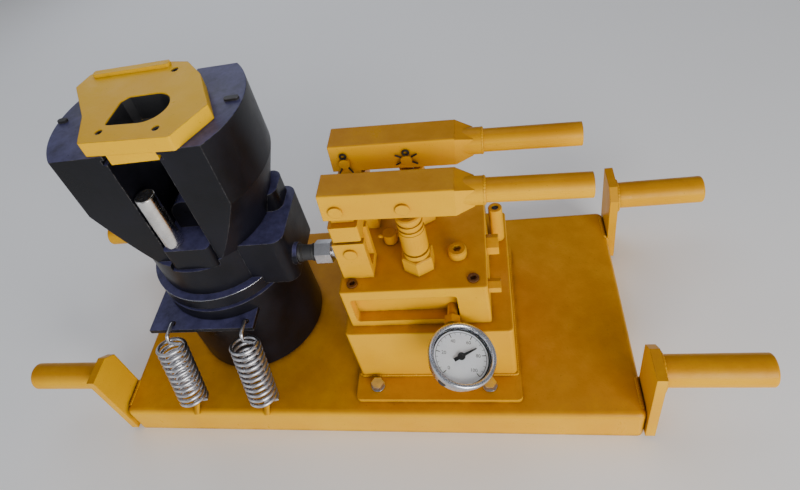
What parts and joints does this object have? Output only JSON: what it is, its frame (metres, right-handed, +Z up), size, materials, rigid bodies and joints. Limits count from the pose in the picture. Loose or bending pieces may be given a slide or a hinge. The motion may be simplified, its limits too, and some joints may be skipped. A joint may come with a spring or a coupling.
{
  "type": "rebar bender",
  "caption": "Hydraulic rebar bending head with a sliding anvil, fed by a two-lever hand pump with a gauge, on a folded deck with carry bars.",
  "frame": {"origin": "on the ground, under the middle of the whole object's box", "axes": "+X along the deck towards the pump levers' free ends, +Y away from the working side where the gauge and springs are, +Z up"},
  "size_m": [0.866, 0.33, 0.429],
  "materials": {
    "paint_yellow": "gloss chrome-yellow machine paint, worn at edges",
    "black_oxide": "oiled black oxide with a blue-grey sheen",
    "polished_steel": "ground and polished steel",
    "zinc_plate": "bright zinc plate",
    "gauge_steel": "stainless, lightly brushed",
    "gauge_glass": "clear",
    "dial_white": "white printed dial",
    "pointer_black": "matt black",
    "rubber_black": "oil-resistant rubber"
  },
  "bodies": {
    "deck": {"deck_tray": "paint_yellow", "carry_ears_left": "paint_yellow", "carry_ears_right": "paint_yellow", "carry_bar_front_left": "paint_yellow", "carry_bar_rear_left": "paint_yellow", "carry_bar_front_right": "paint_yellow", "carry_bar_rear_right": "paint_yellow", "pump_foot": "paint_yellow", "tank_shell": "paint_yellow", "pump_block": "paint_yellow", "lever_posts": "paint_yellow", "plunger_barrels": "paint_yellow", "gland_nuts": "paint_yellow", "spring_hooks": "paint_yellow", "tilt_bracket": "paint_yellow", "block_plugs": "paint_yellow", "gauge_stem": "paint_yellow", "post_pins": "paint_yellow", "block_screws": "black_oxide", "tilt_pin": "polished_steel", "check_balls": "polished_steel", "return_spring_left": "zinc_plate", "return_spring_right": "zinc_plate", "hex_fitting": "zinc_plate", "foot_bolts": "zinc_plate", "suction_strainer": "zinc_plate", "gauge_case": "gauge_steel", "gauge_bezel": "gauge_steel", "gauge_glass": "gauge_glass", "gauge_dial": "dial_white", "oil_hose": "rubber_black", "plunger_seals": "rubber_black"},
    "head": {"head_barrel": "black_oxide", "head_collar": "black_oxide", "ram_seal": "rubber_black", "yoke": "black_oxide", "crown_keys": "black_oxide", "spring_plate": "black_oxide", "port_block": "black_oxide", "tilt_lug": "black_oxide"},
    "anvil_slider": {"anvil": "paint_yellow", "anvil_screws": "black_oxide"},
    "ram_unit": {"ram": "polished_steel", "bending_posts": "polished_steel", "former": "black_oxide"},
    "filler_plug": {"filler_cap": "paint_yellow"},
    "release_screw": {"release_valve": "paint_yellow"},
    "needle": {"gauge_pointer": "pointer_black"},
    "link_arm_front": {"link_front": "paint_yellow"},
    "lever_front": {"lever_arm_front": "paint_yellow", "lever_handle_front": "paint_yellow", "lever_pins_front": "paint_yellow", "split_pins_front": "black_oxide"},
    "piston_front": {"plunger_front": "polished_steel"},
    "link_arm_rear": {"link_rear": "paint_yellow"},
    "lever_rear": {"lever_arm_rear": "paint_yellow", "lever_handle_rear": "paint_yellow", "lever_pins_rear": "paint_yellow", "split_pins_rear": "black_oxide"},
    "piston_rear": {"plunger_rear": "polished_steel"}
  },
  "joints": [
    {"name": "head_tilt", "type": "hinge", "parent": "deck", "child": "head", "pos_m": [-0.158, 0.117, 0.062], "axis": [-1, 0, 0], "range_deg": [0, 4], "stiffness_Nm_per_rad": 640, "springref_deg": -2.86, "deforming": ["return_spring_left", "return_spring_right", "oil_hose"]},
    {"name": "ram_stroke", "type": "slide", "parent": "head", "child": "ram_unit", "axis": [0, 0, 1], "range_m": [0, 0.04]},
    {"name": "anvil_slide", "type": "slide", "parent": "head", "child": "anvil_slider", "axis": [0, -1, 0], "range_m": [0, 0.1]},
    {"name": "filler_pull", "type": "slide", "parent": "deck", "child": "filler_plug", "axis": [0, 0, 1], "range_m": [0, 0.02]},
    {"name": "release_turn", "type": "hinge", "parent": "deck", "child": "release_screw", "pos_m": [0.062, -0.009, 0.21], "axis": [0, 0, 1], "range_deg": [0, 180]},
    {"name": "needle_swing", "type": "hinge", "parent": "deck", "child": "needle", "pos_m": [0.137, -0.13, 0.16], "axis": [0.3298, -0.1649, 0.9295], "range_deg": [-81, 189], "stiffness_Nm_per_rad": 0.002},
    {"name": "link_front_swing", "type": "hinge", "parent": "deck", "child": "link_arm_front", "pos_m": [0.03, -0.045, 0.247], "axis": [0, 1, 0], "range_deg": [0, 7]},
    {"name": "lever_front_stroke", "type": "hinge", "parent": "link_arm_front", "child": "lever_front", "pos_m": [0.03, -0.045, 0.312], "axis": [0, -1, 0], "range_deg": [0, 36.4]},
    {"name": "plunger_front_slide", "type": "slide", "parent": "deck", "child": "piston_front", "axis": [0, 0, 1], "range_m": [0, 0.0335]},
    {"name": "link_rear_swing", "type": "hinge", "parent": "deck", "child": "link_arm_rear", "pos_m": [0.03, 0.028, 0.247], "axis": [0, 1, 0], "range_deg": [0, 7]},
    {"name": "lever_rear_stroke", "type": "hinge", "parent": "link_arm_rear", "child": "lever_rear", "pos_m": [0.03, 0.028, 0.312], "axis": [0, -1, 0], "range_deg": [0, 36.4]},
    {"name": "plunger_rear_slide", "type": "slide", "parent": "deck", "child": "piston_rear", "axis": [0, 0, 1], "range_m": [0, 0.0335]}
  ],
  "couplings": [
    {"joint": "link_front_swing", "follows": "lever_front_stroke", "ratio": 0.17648},
    {"joint": "plunger_front_slide", "follows": "lever_front_stroke", "m_per_rad": 0.051857},
    {"joint": "link_rear_swing", "follows": "lever_rear_stroke", "ratio": 0.17648},
    {"joint": "plunger_rear_slide", "follows": "lever_rear_stroke", "m_per_rad": 0.051857}
  ]
}
